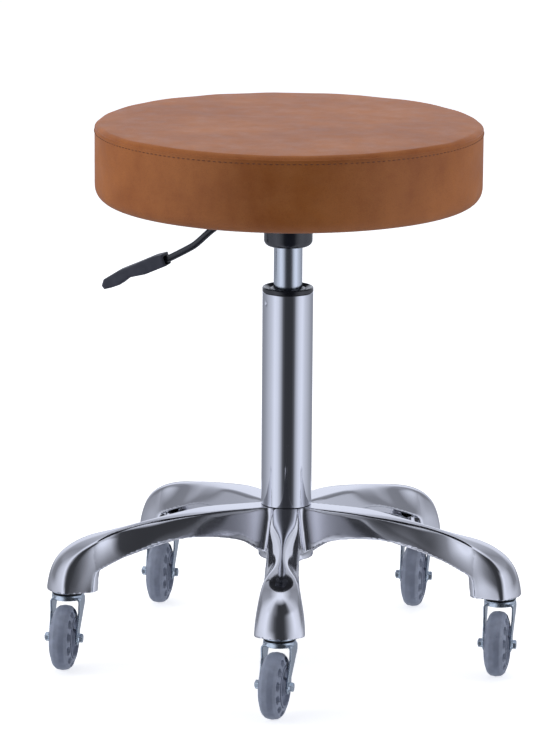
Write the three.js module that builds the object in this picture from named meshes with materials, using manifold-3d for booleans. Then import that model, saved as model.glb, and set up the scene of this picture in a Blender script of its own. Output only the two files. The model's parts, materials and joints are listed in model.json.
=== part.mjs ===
// Round stool on a gas lift: upholstered seat, five-arm cast base, five swivel castors.
// Millimetres, +Z up. The origin is on the floor, under the middle of the footprint.

import * as THREE from 'three';
import { mergeVertices } from 'three/addons/utils/BufferGeometryUtils.js';
import Module from 'manifold-3d';

const wasm = await Module();
wasm.setup();

// ---------------------------------------------------------------- driving dimensions

const gap = 0.3;                  // clearance between neighbouring pieces
const columnY = 35;               // the column stands behind the footprint's middle

const armCount = 5;
const frontArmAngle = -90;        // degrees; the first arm points to -Y
const stemCircleRadius = 222;
const footBottom = 77;
const footCentre = 217;
const footRadius = 25.6;
const hubTop = 149;
const hubRadius = 25.2;
const hubBottom = 96;

const wheelRadius = 32;
const tyreWidth = 23.6;
const rimRadius = 20;
const castorTrail = 17;
const castorHeadings = [-13, -8, -8, -8, -8];   // degrees of swivel at rest, arm by arm
const stemRadius = 5.5;
const raceRadius = 17;
const axleRadius = 3;
const forkInside = 25.2;
const forkPlate = 2;

const columnRadius = 25;
const columnBottom = 92;
const columnTop = 362;
const spigotBottomRadius = 17.6;
const spigotTopRadius = 19.6;

const cylinderRadius = 14;
const cylinderBore = 12.3;
const cylinderBottom = 118;
const cylinderTop = 432;
const rodRadius = 5;
const neckRadius = 4;
const buttonRadius = 3;

const leverAngle = 165;           // degrees about Z, seen from above
const leverHeight = 440;
const leverPivot = 30;            // distance of the lever's pin from the column axis
const leverRodRadius = 3.5;
const gripWidth = 20;
const socketRadius = 23.8;        // the taper socket round the cylinder's top
const socketMouth = 407.6;
const socketEdge = 5.5;           // radius of the socket's rounded lower edge
const leverSlotWidth = 9;

const seatRadius = 190;
const seatBottom = 453;
const seatTop = 530;
const coverThickness = 2;
const boardRadius = 180;
const boardBottom = 455.4;
const boardThickness = 12;
const plateTop = 451.6;
const plateThickness = 3;
const plateSize = 150;
const screwSpacing = 116;
const screwRadius = 2.5;
const screwHoleRadius = 2.8;
const dustCoverRadius = 165;

// ---------------------------------------------------------------- materials

const finish = (color, metalness, roughness) =>
  new THREE.MeshStandardMaterial({ color, metalness, roughness });

const polished = finish(0xc9ccd2, 1, 0.12);
const chrome = finish(0xd9dce4, 1, 0.06);
const zinc = finish(0xa9b6c4, 1, 0.35);
const steel = finish(0x8d9095, 1, 0.4);
const blackPlastic = finish(0x17181b, 0, 0.35);
const blackPaint = finish(0x24262b, 0.2, 0.45);
const blackRubber = finish(0x1c1c1e, 0, 0.8);
const greyTyre = finish(0x80869a, 0, 0.45);
const leather = finish(0xa8683f, 0, 0.5);
const foam = finish(0xe6dcbc, 0, 0.95);
const plywood = finish(0xc9a876, 0, 0.7);
const cloth = finish(0x202124, 0, 0.95);

// ---------------------------------------------------------------- shape helpers

const radians = THREE.MathUtils.degToRad;

// Welds a geometry's corners, drops its flat triangles and turns its faces outwards.
function toSolid(geometry) {
  const bare = new THREE.BufferGeometry();
  bare.setAttribute('position', geometry.getAttribute('position'));
  bare.setIndex(geometry.index);
  const welded = mergeVertices(bare, 1e-3);
  const positions = welded.getAttribute('position');
  const corners = [];
  const [a, b, c] = [new THREE.Vector3(), new THREE.Vector3(), new THREE.Vector3()];
  let volume = 0;
  for (let i = 0; i < welded.index.count; i += 3) {
    const [p, q, r] = [0, 1, 2].map((n) => welded.index.getX(i + n));
    if (p === q || q === r || r === p) continue;
    corners.push([p, q, r]);
    a.fromBufferAttribute(positions, p);
    b.fromBufferAttribute(positions, q);
    c.fromBufferAttribute(positions, r);
    volume += a.dot(b.cross(c));
  }
  const outward = volume > 0 ? corners : corners.map(([p, q, r]) => [p, r, q]);
  return new wasm.Manifold(new wasm.Mesh({
    numProp: 3,
    vertProperties: Float32Array.from(positions.array),
    triVerts: Uint32Array.from(outward.flat()),
  }));
}

function fromSolid(solid) {
  const mesh = solid.getMesh();
  const geometry = new THREE.BufferGeometry();
  geometry.setAttribute('position', new THREE.BufferAttribute(mesh.vertProperties, 3));
  geometry.setIndex(new THREE.BufferAttribute(mesh.triVerts, 1));
  geometry.computeVertexNormals();
  return geometry;
}

const join = (first, ...rest) =>
  fromSolid(rest.reduce((body, next) => body.add(toSolid(next)), toSolid(first)));

const cut = (first, ...tools) =>
  fromSolid(tools.reduce((body, tool) => body.subtract(toSolid(tool)), toSolid(first)));

const overlap = (first, ...rest) =>
  fromSolid(rest.reduce((body, next) => body.intersect(toSolid(next)), toSolid(first)));

// A body of revolution about Z. The profile lists [radius, height] pairs and either
// starts and ends on the axis or is closed into a ring.
function revolve(profile, segments = 24) {
  const [first, last] = [profile[0], profile[profile.length - 1]];
  const outline = first[0] === 0 && last[0] === 0 ? profile : [...profile, first];
  const points = outline.map(([radius, height]) => new THREE.Vector2(radius, height));
  const geometry = new THREE.LatheGeometry(points, segments);
  geometry.rotateX(Math.PI / 2);
  return geometry;
}

const rod = (radius, bottom, top, segments = 16) =>
  revolve([[0, bottom], [radius, bottom], [radius, top], [0, top]], segments);

const ring = (inner, outer, bottom, top, segments = 20) =>
  revolve([[inner, bottom], [outer, bottom], [outer, top], [inner, top]], segments);

function arcPoints(centreX, centreY, radius, startDegrees, endDegrees, steps) {
  const points = [];
  for (let i = 0; i <= steps; i += 1) {
    const angle = radians(startDegrees + ((endDegrees - startDegrees) * i) / steps);
    points.push([centreX + radius * Math.cos(angle), centreY + radius * Math.sin(angle)]);
  }
  return points;
}

const smooth = (points, steps) =>
  new THREE.SplineCurve(points.map(([x, y]) => new THREE.Vector2(x, y)))
    .getPoints(steps)
    .map((point) => [point.x, point.y]);

// A flat outline pushed along +Z, half of the depth on each side of the XY plane.
function prism(outline, depth) {
  const shape = new THREE.Shape(outline.map(([x, y]) => new THREE.Vector2(x, y)));
  const geometry = new THREE.ExtrudeGeometry(shape, { depth, bevelEnabled: false });
  geometry.translate(0, 0, -depth / 2);
  return geometry;
}

// An outline drawn as [x, z] and pushed along Y.
const sidePrism = (outline, depth) => prism(outline, depth).rotateX(Math.PI / 2);

// An outline drawn as [y, z] and pushed along X.
const endPrism = (outline, depth) =>
  prism(outline, depth).rotateX(Math.PI / 2).rotateZ(Math.PI / 2);

// A rod of round section along a path of [x, z] points, with its bends rounded.
function bentRod(points, radius, steps) {
  const path = new THREE.CatmullRomCurve3(
    points.map(([x, z]) => new THREE.Vector3(x, 0, z)), false, 'catmullrom', 0.3);
  const section = new THREE.Shape(
    arcPoints(0, 0, radius, 0, 315, 7).map(([x, y]) => new THREE.Vector2(x, y)));
  return new THREE.ExtrudeGeometry(section, { steps, extrudePath: path, bevelEnabled: false });
}

function piece(name, geometry, material) {
  const mesh = new THREE.Mesh(fromSolid(toSolid(geometry)), material);
  mesh.name = name;
  return mesh;
}

function group(...children) {
  const result = new THREE.Group();
  result.add(...children);
  return result;
}

// ---------------------------------------------------------------- base

// One arm along +X: a drooping side outline under a sloping ridge, with a bell-shaped
// foot, a channel underneath and a bore for the castor stem.
function armGeometry() {
  const ridge = smooth(
    [[19, 148], [50, 148.3], [84, 147.6], [149, 138], [205, 125], [234, 105], [242.6, footBottom]], 13);
  const underside = smooth(
    [[191, footBottom], [182, 103.6], [144, 119], [91, 126.5], [58, 122], [19, 100]], 8);
  const sideOutline = sidePrism([...ridge, ...underside], 60);

  const ridgeSlope = 10.5;
  const gable = endPrism([
    [-4, 0], [-16.5, -15], [-17.5, -26], [-27, -52], [-27, -90],
    [27, -90], [27, -52], [17.5, -26], [16.5, -15], [4, 0],
  ], 320);
  gable.rotateY(radians(ridgeSlope));
  gable.translate(142, 0, 137.5 + 1.6);

  const halfPlan = [[19, 13.6], [30, 17.4], [60, 17.2], [120, 16.8], [175, 17.2], [217, 21]];
  const plan = prism([...halfPlan, ...halfPlan.map(([x, y]) => [x, -y]).reverse()], 200);
  plan.translate(0, 0, 100);
  const foot = revolve(
    [[0, footBottom], [footRadius, footBottom], [24.6, 96], [21, 113], [13, 127], [0, 130]], 16);
  foot.translate(footCentre, 0, 0);

  const channel = sidePrism(
    [[64, 90], [64, 134], [112, 130], [149, 123.5], [176, 117.5], [176, 90]], 20);
  const stemBore = rod(stemRadius + gap, footBottom - 10, 110.5);
  stemBore.translate(stemCircleRadius, 0, 0);

  return cut(overlap(sideOutline, gable, join(plan, foot)), channel, stemBore);
}

const spigotRadius = (height) => spigotBottomRadius
  + ((spigotTopRadius - spigotBottomRadius) * (height - columnBottom)) / (hubTop - columnBottom);

function baseGeometry() {
  const arm = armGeometry();
  const arms = [];
  for (let i = 0; i < armCount; i += 1) {
    const copy = arm.clone();
    arms.push(copy.rotateZ(radians(frontArmAngle + (i * 360) / armCount)));
  }
  const hub = revolve(
    [[0, hubBottom], [27, hubBottom], [27, 106], [hubRadius, 114], [hubRadius, hubTop], [0, hubTop]], 30);
  const boreBottom = hubBottom - 2;
  const boreTop = hubTop + 2;
  const bore = revolve([
    [0, boreBottom], [spigotRadius(boreBottom) + gap, boreBottom],
    [spigotRadius(boreTop) + gap, boreTop], [0, boreTop],
  ], 30);
  return cut(join(hub, ...arms), bore);
}

// ---------------------------------------------------------------- column and gas lift

function columnPieces() {
  const column = revolve([
    [spigotBottomRadius, columnBottom], [spigotTopRadius, hubTop + gap], [columnRadius, hubTop + gap],
    [columnRadius, columnTop - 0.6], [columnRadius - 0.6, columnTop], [22.9, columnTop],
    [22.9, 153], [16.6, 147], [15, 95], [6, 95], [6, columnBottom],
  ], 30);
  const bush = revolve([
    [cylinderRadius + gap, 268], [22.6, 268], [22.6, columnTop + gap], [25.2, columnTop + gap],
    [25.2, 366], [24.4, 367], [21.5, 367], [20, 364.5], [cylinderRadius + gap, 364.5],
  ]);
  return [
    piece('outer_column', column, chrome),
    piece('guide_bush', bush, blackPlastic),
    piece('bottom_washer', ring(neckRadius + 0.4, 10, 88.7, 91.7, 20), steel),
    piece('thrust_bearing', ring(neckRadius + 0.4, 13, 95.4, 103.8, 20), steel),
  ];
}

function pistonPieces() {
  const pistonRod = revolve([
    [0, 85.5], [neckRadius, 85.5], [neckRadius, 87], [3.2, 87], [3.2, 88.4], [neckRadius, 88.4],
    [neckRadius, 104.1], [rodRadius, 104.1], [rodRadius, 411], [0, 411],
  ], 20);
  return [
    piece('piston_rod', pistonRod, steel),
    piece('piston', ring(rodRadius + gap, 12, 396, 408, 24), blackPlastic),
    piece('retaining_clip', ring(3.5, 7.5, 87.2, 88.2, 20), steel),
    piece('rubber_bumper', ring(rodRadius + gap, 12, 104.4, 117.6, 20), blackRubber),
  ];
}

function cylinderPieces() {
  const pinBore = buttonRadius + gap;
  const cylinder = revolve([
    [cylinderBore, cylinderBottom], [cylinderRadius, cylinderBottom], [cylinderRadius, cylinderTop - 1],
    [cylinderRadius - 1, cylinderTop], [pinBore, cylinderTop], [pinBore, cylinderTop - 6],
    [cylinderBore, cylinderTop - 6],
  ]);
  return [
    piece('gas_cylinder', cylinder, chrome),
    piece('rod_seal', ring(rodRadius + gap, 12, 119, 140, 24), blackRubber),
    piece('release_button', rod(buttonRadius, 424, leverHeight - leverRodRadius - gap, 16), steel),
  ];
}

// ---------------------------------------------------------------- lever and seat plate

// Drawn with the lever along +X; the group that holds them is turned to the lever's angle.
function socketGeometry() {
  const edge = arcPoints(
    socketRadius - socketEdge, socketMouth + socketEdge, socketEdge, -90, 0, 3);
  const plateUnderside = plateTop - plateThickness;
  const socket = revolve([
    [cylinderRadius + gap, socketMouth], ...edge,
    [socketRadius, plateUnderside - gap], [18, plateUnderside - gap],
    [18, cylinderTop + gap], [cylinderRadius + gap, cylinderTop + gap],
  ]);
  const slot = new THREE.BoxGeometry(20, leverSlotWidth, 20).translate(22, 0, leverHeight + 4);
  return cut(socket, slot);
}

function roundedSquare(size, corner) {
  const reach = size / 2 - corner;
  const corners = [[1, 1, 0], [-1, 1, 90], [-1, -1, 180], [1, -1, 270]];
  return corners.flatMap(([x, y, start]) =>
    arcPoints(x * reach, y * reach, corner, start, start + 90, 3));
}

function screwPlaces() {
  const reach = screwSpacing / 2;
  return [[reach, reach], [-reach, reach], [-reach, -reach], [reach, -reach]];
}

const pinAcross = (radius, length) => {
  const pin = rod(radius, -length / 2, length / 2, 16);
  return pin.rotateX(Math.PI / 2).translate(leverPivot, 0, leverHeight);
};

function plateGeometry() {
  const plate = prism(roundedSquare(plateSize, 14), plateThickness);
  plate.translate(0, 0, plateTop - plateThickness / 2);
  const ears = [-1, 1].map((side) => {
    const ear = sidePrism(
      [[leverPivot - 6, plateTop - 1], [leverPivot - 6, leverHeight], [leverPivot - 3, 434.5],
        [leverPivot + 3, 434.5], [leverPivot + 6, leverHeight], [leverPivot + 6, plateTop - 1]], 2);
    return ear.translate(0, side * 7, 0);
  });
  const holes = screwPlaces().map(([x, y]) => rod(screwHoleRadius, 440, 460, 12).translate(x, y, 0));
  return cut(join(plate, ...ears), pinAcross(1.8, 30), ...holes);
}

function screwGeometry() {
  const head = plateTop - plateThickness - gap;
  return revolve([
    [0, head - 2.6], [2.6, head - 2.6], [4.4, head - 1], [4.4, head], [screwRadius, head],
    [screwRadius, head + 14], [0, head + 16.5],
  ], 12);
}

const leverPath = [[-5, leverHeight], [28, leverHeight], [50, leverHeight - 0.5],
  [78.7, 417.6], [96.5, 401.5], [122, 387], [146, 376]];

function leverPieces() {
  const leverRod = cut(bentRod(leverPath, leverRodRadius, 20), pinAcross(1.8, 30));
  const topEdge = smooth(
    [[126.5, 392], [136.6, 388.9], [155.5, 380.1], [173.1, 372.2], [187.2, 363.1]], 8);
  const lowEdge = smooth(
    [[189.4, 356.6], [186.3, 353], [170.5, 358.3], [159, 366.9], [144.1, 370.6], [122.6, 380.4]], 10);
  const body = sidePrism([...topEdge, ...lowEdge], gripWidth);
  const rodHole = bentRod(leverPath, leverRodRadius + gap, 20);
  return [
    piece('lever_rod', leverRod, blackPaint),
    piece('lever_grip', cut(body, rodHole), blackPlastic),
  ];
}

// ---------------------------------------------------------------- seat

function coverGeometry() {
  const inner = seatRadius - coverThickness;
  return revolve([
    [150, seatBottom],
    ...arcPoints(seatRadius - 12, seatBottom + 12, 12, -90, 0, 3),
    ...arcPoints(seatRadius - 7, seatTop - 7, 7, 0, 90, 2),
    [0, seatTop], [0, seatTop - coverThickness],
    ...arcPoints(inner - 5, seatTop - 7, 5, 90, 0, 2),
    ...arcPoints(inner - 10, seatBottom + 12, 10, 0, -90, 3),
    [150, seatBottom + coverThickness],
  ], 36);
}

function foamGeometry() {
  const boardTop = boardBottom + boardThickness;
  const lip = boardRadius + 0.4;
  return revolve([
    [0, boardTop + 0.4], [lip, boardTop + 0.4], [lip, seatBottom + 4], [183, seatBottom + 4],
    [187.5, seatBottom + 12], [187.5, seatTop - 8], [182.5, seatTop - 2.4], [0, seatTop - 2.4],
  ], 36);
}

function boardGeometry() {
  const top = boardBottom + boardThickness;
  const board = revolve([
    [0, boardBottom], [boardRadius - 1, boardBottom], [boardRadius, boardBottom + 1],
    [boardRadius, top - 1], [boardRadius - 1, top], [0, top],
  ], 36);
  const pilots = screwPlaces().map(([x, y]) =>
    rod(screwHoleRadius, boardBottom - 1, top - 1.5, 12).translate(x, y, 0));
  return cut(board, ...pilots);
}

function dustCoverGeometry() {
  const sheet = rod(dustCoverRadius, plateTop + gap, seatBottom - gap, 36);
  const holes = screwPlaces().map(([x, y]) =>
    rod(3.2, plateTop - 2, seatBottom + 2, 12).translate(x, y, 0));
  return cut(sheet, ...holes);
}

function seatGroup() {
  const screws = screwPlaces().map(([x, y], i) => {
    const screw = piece(`plate_screw_${i + 1}`, screwGeometry(), steel);
    screw.position.set(x, y, 0);
    return screw;
  });
  const seat = group(
    piece('taper_socket', socketGeometry(), blackPaint),
    piece('seat_plate', plateGeometry(), blackPaint),
    piece('lever_pin', pinAcross(1.5, 17), steel),
    ...screws,
    ...leverPieces(),
    piece('dust_cover', dustCoverGeometry(), cloth),
    piece('seat_board', boardGeometry(), plywood),
    piece('seat_foam', foamGeometry(), foam),
    piece('seat_cover', coverGeometry(), leather),
  );
  seat.rotation.z = radians(leverAngle);
  return seat;
}

// ---------------------------------------------------------------- castors

// Drawn with the stem on the Z axis and the wheel trailing along +X, so that the axle
// lies along Y. The wheel and fork turn together about the stem.
function forkGeometry() {
  const crown = 68.3;
  const cheekOutline = [
    [-14, crown + 2], [-14, crown - 8], [castorTrail - 9, wheelRadius + 6],
    ...arcPoints(castorTrail, wheelRadius, 7, 180, 360, 4), [15, crown - 12], [15, crown + 2],
  ];
  const lean = 4;
  const cheeks = [-1, 1].map((side) => {
    const cheek = sidePrism(cheekOutline, forkPlate);
    cheek.translate(0, side * ((forkInside + forkPlate) / 2), -wheelRadius);
    return cheek.rotateX(radians(-side * lean)).translate(0, 0, wheelRadius);
  });
  const crownPlate = new THREE.BoxGeometry(29, 2 * raceRadius, 2.4).translate(0.5, 0, crown + 1.2);
  const shoulder = rod(raceRadius - 1.5, crown + 2, crown + 4.6, 14);
  const holes = [
    rod(stemRadius + gap, crown - 5, crown + 10, 12),
    rod(axleRadius + gap, -30, 30, 12).rotateX(Math.PI / 2).translate(castorTrail, 0, wheelRadius),
  ];
  return cut(join(crownPlate, shoulder, ...cheeks), ...holes);
}

const stemGeometry = () => revolve([
  [0, 66.5], [8, 66.5], [8, 68], [stemRadius, 68], [stemRadius, 75.2], [raceRadius, 75.2],
  [raceRadius, 76.7], [stemRadius, 76.7], [stemRadius, 109], [4, 110], [0, 110],
], 14);

const hexagon = (acrossCorners) => arcPoints(0, 0, acrossCorners / 2, 0, 300, 5);

// Pieces on the axle are drawn about Z and laid down along Y.
const alongAxle = (geometry) =>
  geometry.rotateX(Math.PI / 2).translate(castorTrail, 0, wheelRadius);

const headSeat = forkInside / 2 + forkPlate + 0.8;

function boltGeometry() {
  const head = prism(hexagon(9.2), 4).translate(0, 0, headSeat + 2);
  return alongAxle(join(rod(axleRadius, -headSeat - 5, headSeat + 1, 12), head));
}

function nutGeometry() {
  const nut = prism(hexagon(9.2), 4).translate(0, 0, -headSeat - 2);
  return alongAxle(cut(nut, rod(axleRadius + 0.2, -headSeat - 8, -headSeat + 4, 12)));
}

const hubGeometry = () => alongAxle(revolve([
  [axleRadius + gap, -12], [8, -12], [9.5, -8], [rimRadius - gap, -8], [rimRadius - gap, 8],
  [9.5, 8], [8, 12], [axleRadius + gap, 12],
], 18));

function tyreGeometry() {
  const half = tyreWidth / 2;
  return alongAxle(revolve([
    [rimRadius, -half + 3], [24, -half], [28, -half + 1.6], [31, -6.4], [wheelRadius, 0],
    [31, 6.4], [28, half - 1.6], [24, half], [rimRadius, half - 3],
  ], 24));
}

function castorGroup(number) {
  const name = (part) => `castor_${number}_${part}`;
  const castor = group(
    piece(name('stem'), stemGeometry(), zinc),
    piece(name('bearing'), ring(stemRadius + gap, raceRadius - 1.2, 73.3, 74.8, 14), blackRubber),
    piece(name('fork'), forkGeometry(), zinc),
    piece(name('axle_bolt'), boltGeometry(), zinc),
    piece(name('axle_nut'), nutGeometry(), zinc),
    piece(name('hub'), hubGeometry(), greyTyre),
    piece(name('tyre'), tyreGeometry(), greyTyre),
  );
  const armAngle = radians(frontArmAngle + ((number - 1) * 360) / armCount);
  castor.position.set(
    stemCircleRadius * Math.cos(armAngle), stemCircleRadius * Math.sin(armAngle), 0);
  castor.rotation.z = radians(frontArmAngle + castorHeadings[number - 1]);
  return castor;
}

// ---------------------------------------------------------------- stool

const stool = group(
  piece('base', baseGeometry(), polished),
  ...columnPieces(),
  ...pistonPieces(),
  ...cylinderPieces(),
  seatGroup(),
  ...castorHeadings.map((heading, i) => castorGroup(i + 1)),
);
stool.position.y = columnY;

export default stool;
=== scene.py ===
"""A round upholstered stool on a gas lift and a polished five-arm castor base, in a pale studio.

Geometry is worked out in millimetres, in the frame of the CAD model, and stored in metres.
"""

import json
import math

import bmesh
import bpy
import numpy as np
from mathutils import Matrix, Vector
from mathutils.bvhtree import BVHTree


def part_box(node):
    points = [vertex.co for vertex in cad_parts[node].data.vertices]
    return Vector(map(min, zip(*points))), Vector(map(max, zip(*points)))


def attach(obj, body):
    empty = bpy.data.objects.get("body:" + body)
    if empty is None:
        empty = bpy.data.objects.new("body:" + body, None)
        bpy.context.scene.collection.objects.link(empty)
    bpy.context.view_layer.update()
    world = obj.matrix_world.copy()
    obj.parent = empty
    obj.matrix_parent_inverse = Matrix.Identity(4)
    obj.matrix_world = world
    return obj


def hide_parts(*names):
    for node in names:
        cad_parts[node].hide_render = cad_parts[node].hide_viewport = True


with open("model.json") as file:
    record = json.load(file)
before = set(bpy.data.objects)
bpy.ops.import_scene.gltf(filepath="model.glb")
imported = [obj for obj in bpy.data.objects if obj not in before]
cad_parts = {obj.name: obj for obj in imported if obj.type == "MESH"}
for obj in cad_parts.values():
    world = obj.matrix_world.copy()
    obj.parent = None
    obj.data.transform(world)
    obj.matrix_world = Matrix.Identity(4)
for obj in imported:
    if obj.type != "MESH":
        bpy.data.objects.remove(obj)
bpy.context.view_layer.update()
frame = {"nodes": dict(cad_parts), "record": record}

# ---------- sizes, from the frame

MM = 0.001


def span(node):
    """The lowest and highest corner of a CAD node, in millimetres."""
    low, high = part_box(node)
    return np.array(low) / MM, np.array(high) / MM


def middle(node):
    low, high = span(node)
    return (low + high) / 2


def top_of(node):
    return span(node)[1][2]


def bottom_of(node):
    return span(node)[0][2]


def radius_of(node):
    """Half the width of a round upright node."""
    low, high = span(node)
    return (high[0] - low[0]) / 2


AXIS = middle("outer_column")[:2]  # the column stands here
ARM_COUNT = 5
FOOT_BOTTOM = bottom_of("base")
HUB_TOP = top_of("base")
COLUMN_RADIUS = radius_of("outer_column")
COLUMN_TOP = top_of("outer_column")
COLUMN_BOTTOM = bottom_of("outer_column")
LIFT_RADIUS = radius_of("gas_cylinder")
LIFT_BOTTOM = bottom_of("gas_cylinder")
LIFT_TOP = top_of("gas_cylinder")
SEAT_RADIUS = radius_of("seat_cover")
SEAT_BOTTOM = bottom_of("seat_cover")
SEAT_TOP = top_of("seat_cover")
STEM_CIRCLE = float(np.linalg.norm(middle("castor_1_stem")[:2] - AXIS))
LEVER_ANGLE = math.radians(165)
LEVER_HEIGHT = middle("lever_pin")[2]
FRONT_ARM_ANGLE = math.radians(-90)
SECTOR = 2 * math.pi / ARM_COUNT

# ---------- meshes


def new_object(name, data):
    """An object in the scene that shows a mesh, a light or a camera."""
    thing = bpy.data.objects.new(name, data)
    bpy.context.scene.collection.objects.link(thing)
    return thing


def add_piece(name, points, faces, finish, body, nodes=(), sharp=38):
    """A mesh object from points in millimetres that rides on a body and may stand for CAD nodes."""
    mesh = bpy.data.meshes.new(name)
    mesh.from_pydata((np.asarray(points, float) * MM).tolist(), [], faces)
    work = bmesh.new()
    work.from_mesh(mesh)
    bmesh.ops.remove_doubles(work, verts=work.verts, dist=1e-6)
    bmesh.ops.recalc_face_normals(work, faces=work.faces)
    work.to_mesh(mesh)
    work.free()
    mesh.shade_smooth()
    if sharp:
        mesh.set_sharp_from_angle(angle=math.radians(sharp))
    piece = new_object(name, mesh)
    dress(piece, finish, body, nodes)
    return piece


def dress(piece, finish, body, nodes=()):
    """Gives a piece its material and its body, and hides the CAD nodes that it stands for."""
    piece.data.materials.clear()
    piece.data.materials.append(FINISHES[finish])
    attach(piece, body)
    if nodes:
        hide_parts(*nodes)


def apply_modifiers(piece):
    """Bakes a piece's modifiers into its mesh."""
    graph = bpy.context.evaluated_depsgraph_get()
    mesh = bpy.data.meshes.new_from_object(piece.evaluated_get(graph))
    piece.modifiers.clear()
    piece.data = mesh


def fillet(corners, steps=5):
    """An outline of (x, y, corner radius) points with its corners rounded."""
    outline = []
    for i, (x, y, radius) in enumerate(corners):
        here = np.array((x, y), float)
        if radius == 0:
            outline.append(here)
            continue
        before = np.array(corners[i - 1][:2]) - here
        after = np.array(corners[(i + 1) % len(corners)][:2]) - here
        before /= np.linalg.norm(before)
        after /= np.linalg.norm(after)
        half = math.acos(float(np.clip(before @ after, -1, 1))) / 2
        inward = (before + after) / np.linalg.norm(before + after)
        centre = here + inward * radius / math.sin(half)
        first = here + before * radius / math.tan(half) - centre
        last = here + after * radius / math.tan(half) - centre
        start = math.atan2(first[1], first[0])
        turn = math.atan2(last[1], last[0]) - start
        turn = (turn + math.pi) % (2 * math.pi) - math.pi
        for step in range(steps + 1):
            angle = start + turn * step / steps
            outline.append(centre + radius * np.array((math.cos(angle), math.sin(angle))))
    return outline


def lathe(corners, segments=96, shape=None, steps=5):
    """Points and faces of an outline of (radius, height, corner radius) turned about Z.

    shape(angles, radius, height) may change a ring's radius.
    """
    outline = fillet(corners, steps)
    angles = np.arange(segments) * 2 * math.pi / segments
    points = []
    for radius, height in outline:
        reach = np.full(segments, radius) if shape is None else shape(angles, radius, height)
        points.append(np.stack([reach * np.cos(angles), reach * np.sin(angles), 0 * angles + height], 1))
    return np.concatenate(points), grid_faces(len(outline), segments, close_rows=outline[0][0] > 0)


def grid_faces(rows, columns, close_rows=False):
    """Quads between rings of points; the last ring may join the first."""
    faces = []
    for i in range(rows if close_rows else rows - 1):
        for j in range(columns):
            a, b = i * columns, (i + 1) % rows * columns
            k = (j + 1) % columns
            faces.append((a + j, a + k, b + k, b + j))
    return faces


def on_axis(points):
    """Moves points drawn about Z to the column's axis."""
    return np.asarray(points) + np.array((*AXIS, 0))


def turned(points, angle):
    """Points turned about Z."""
    x, y, z = np.asarray(points).T
    c, s = math.cos(angle), math.sin(angle)
    return np.stack([c * x - s * y, s * x + c * y, z], 1)


def in_lever_plane(points):
    """Moves points drawn along +X from the column to the side where the lever is."""
    return on_axis(turned(points, LEVER_ANGLE))


# ---------- shapes from fields

# A field is negative inside the metal. Its zero surface is meshed on a grid, and the mesh's
# points are then moved onto the surface along the field's gradient.
FINE_GRID = 0.9  # for small pieces

def smooth_max(a, b, reach):
    overlap = np.maximum(reach - np.abs(a - b), 0) / reach
    return np.maximum(a, b) + overlap**3 * reach / 6


def smooth_min(a, b, reach):
    return -smooth_max(-a, -b, reach)


def spline(points):
    """A natural cubic spline through (x, y) points, constant past its ends."""
    xs, ys = np.array(points, float).T
    gaps = np.diff(xs)
    system = np.eye(len(xs))
    right = np.zeros(len(xs))
    for i in range(1, len(xs) - 1):
        system[i, i - 1: i + 2] = gaps[i - 1], 2 * (gaps[i - 1] + gaps[i]), gaps[i]
        right[i] = 6 * ((ys[i + 1] - ys[i]) / gaps[i] - (ys[i] - ys[i - 1]) / gaps[i - 1])
    bend = np.linalg.solve(system, right)

    def value(x):
        x = np.clip(x, xs[0], xs[-1])
        i = np.clip(np.searchsorted(xs, x) - 1, 0, len(xs) - 2)
        a = (xs[i + 1] - x) / gaps[i]
        b = (x - xs[i]) / gaps[i]
        curve = ((a**3 - a) * bend[i] + (b**3 - b) * bend[i + 1]) * gaps[i] ** 2 / 6
        return a * ys[i] + b * ys[i + 1] + curve

    return value


def outline_field(corners, x, y):
    """Distance to a closed outline, negative inside it."""
    nearest = np.full(np.shape(x), 1e9)
    inside = np.zeros(np.shape(x), bool)
    for (ax, ay), (bx, by) in zip(corners, corners[1:] + corners[:1]):
        ex, ey = bx - ax, by - ay
        along = np.clip(((x - ax) * ex + (y - ay) * ey) / (ex * ex + ey * ey), 0, 1)
        nearest = np.minimum(nearest, np.hypot(x - ax - along * ex, y - ay - along * ey))
        if ey != 0:
            inside ^= ((ay > y) != (by > y)) & (x < ax + ex * (y - ay) / ey)
    return np.where(inside, -nearest, nearest)


def field_cells(field, low, high, cell):
    """Quads round the zero surface of a field, with one point in each cell that it crosses."""
    axes = [np.arange(low[i] - 1.5 * cell, high[i] + 2.5 * cell, cell) for i in range(3)]
    values = field(*np.meshgrid(*axes, indexing="ij"))
    cells = np.array(values.shape) - 1
    total = np.zeros((*cells, 3))
    count = np.zeros(cells)
    edges = []
    for axis in range(3):
        first = np.take(values, range(cells[axis]), axis)
        second = np.take(values, range(1, cells[axis] + 1), axis)
        crossed = (first < 0) != (second < 0)
        index = np.argwhere(crossed)
        point = index.astype(float)
        point[:, axis] += first[crossed] / (first[crossed] - second[crossed])
        u, v = (axis + 1) % 3, (axis + 2) % 3
        corners = []
        for du, dv in ((1, 1), (0, 1), (0, 0), (1, 0)):
            corner = index.copy()
            corner[:, u] -= du
            corner[:, v] -= dv
            corners.append(corner)
            np.add.at(total, tuple(corner.T), point)
            np.add.at(count, tuple(corner.T), 1)
        edges.append((corners, first[crossed] < 0))
    used = count > 0
    number = np.full(count.shape, -1)
    number[used] = np.arange(used.sum())
    points = total[used] / count[used][:, None] * cell + np.array([axis[0] for axis in axes])
    quads = []
    for corners, outward in edges:
        quad = np.stack([number[tuple(corner.T)] for corner in corners], 1)
        quads.append(np.where(outward[:, None], quad, quad[:, ::-1]))
    return points, np.concatenate(quads).tolist()


def slope(field, points, step=0.05):
    """The gradient of a field at points."""
    result = np.empty_like(points)
    for i in range(3):
        shift = np.zeros(3)
        shift[i] = step
        result[:, i] = (field(*(points + shift).T) - field(*(points - shift).T)) / (2 * step)
    return result


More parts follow.
